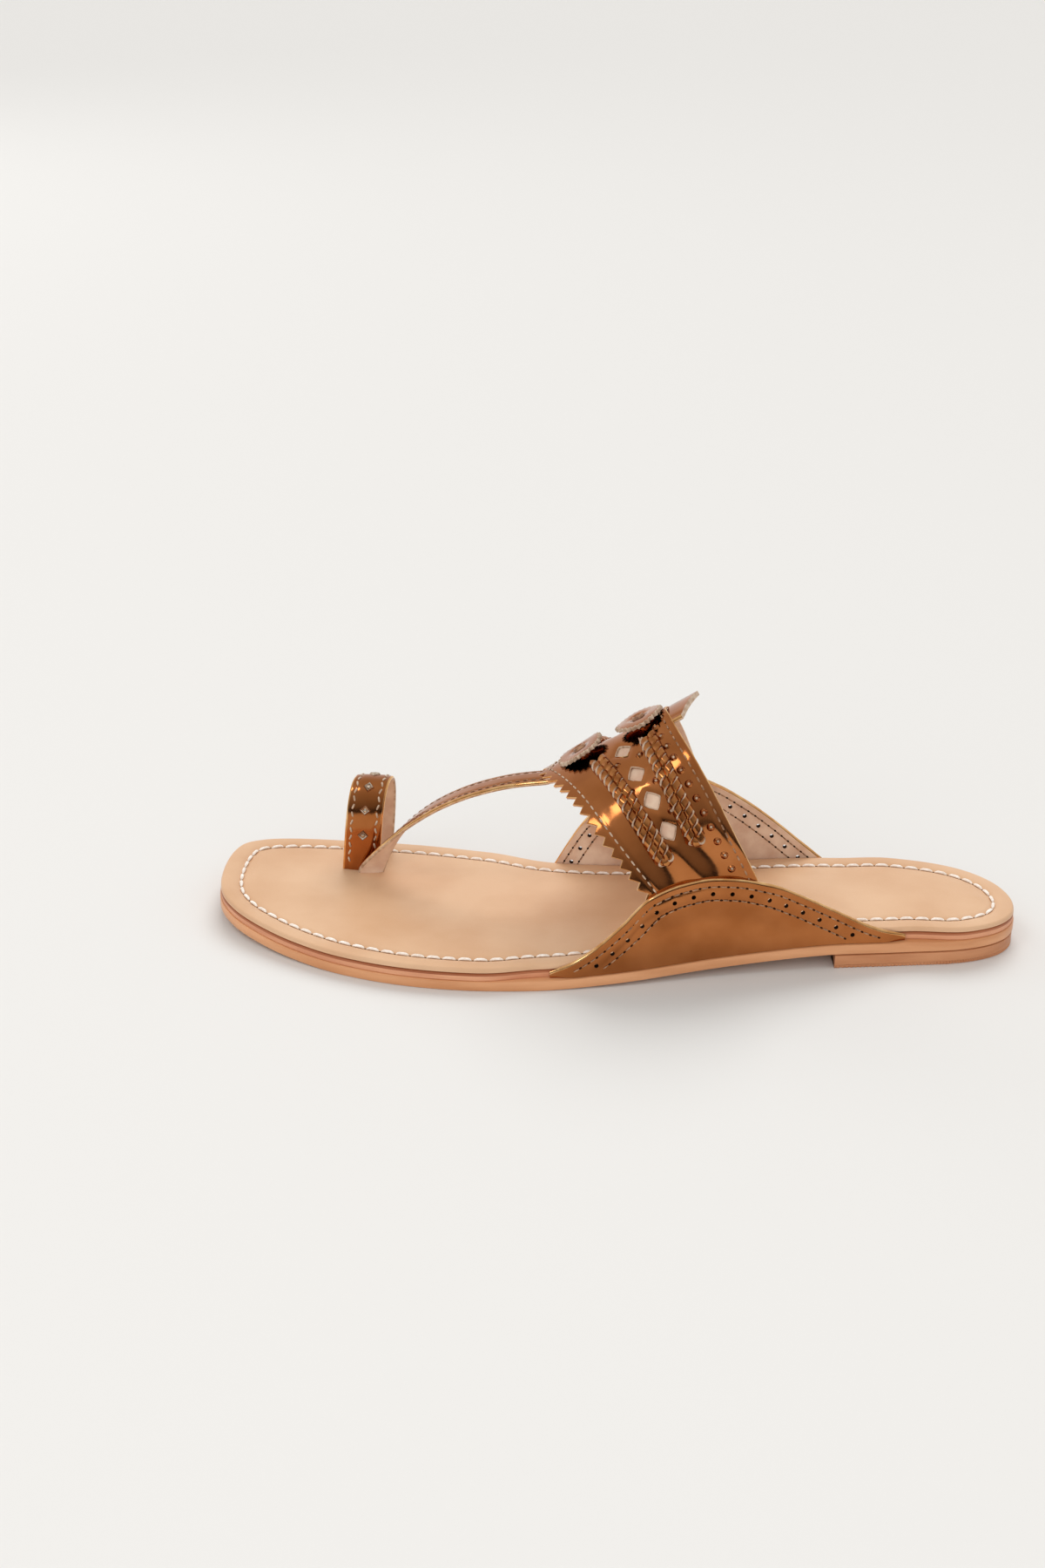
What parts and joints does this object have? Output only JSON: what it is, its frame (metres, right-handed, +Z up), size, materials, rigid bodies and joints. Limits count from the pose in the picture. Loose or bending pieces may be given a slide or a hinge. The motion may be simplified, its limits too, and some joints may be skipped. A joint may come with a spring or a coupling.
{
  "type": "kolhapuri sandal",
  "caption": "Flat leather sandal for the left foot: pinked and braided instep band between side wings, a spine strap down to the footbed and a ring for the big toe.",
  "frame": {"origin": "middle of the outline from above, on the floor", "axes": "+X to the toe, +Y to the outer side of the foot, +Z up"},
  "size_m": [0.253, 0.09, 0.0794],
  "materials": {
    "sole_leather": "smooth tan sole leather with a waxed edge",
    "fibre_board": "reddish brown bonded leather board",
    "footbed_leather": "beige padded leather with a white running stitch",
    "bronze_leather": "mirror coated bronze leather with a beige lining",
    "trim_leather": "bronze leather with bright cut edges"
  },
  "bodies": {
    "root": {"outsole": "sole_leather", "heel_lift": "sole_leather", "insole_board": "fibre_board", "footbed": "footbed_leather", "upper": "bronze_leather", "toe_loop": "bronze_leather", "rosette_front": "trim_leather", "rosette_rear": "trim_leather", "braid_lateral_front": "trim_leather", "braid_lateral_rear": "trim_leather", "braid_medial_front": "trim_leather", "braid_medial_rear": "trim_leather"}
  },
  "joints": []
}
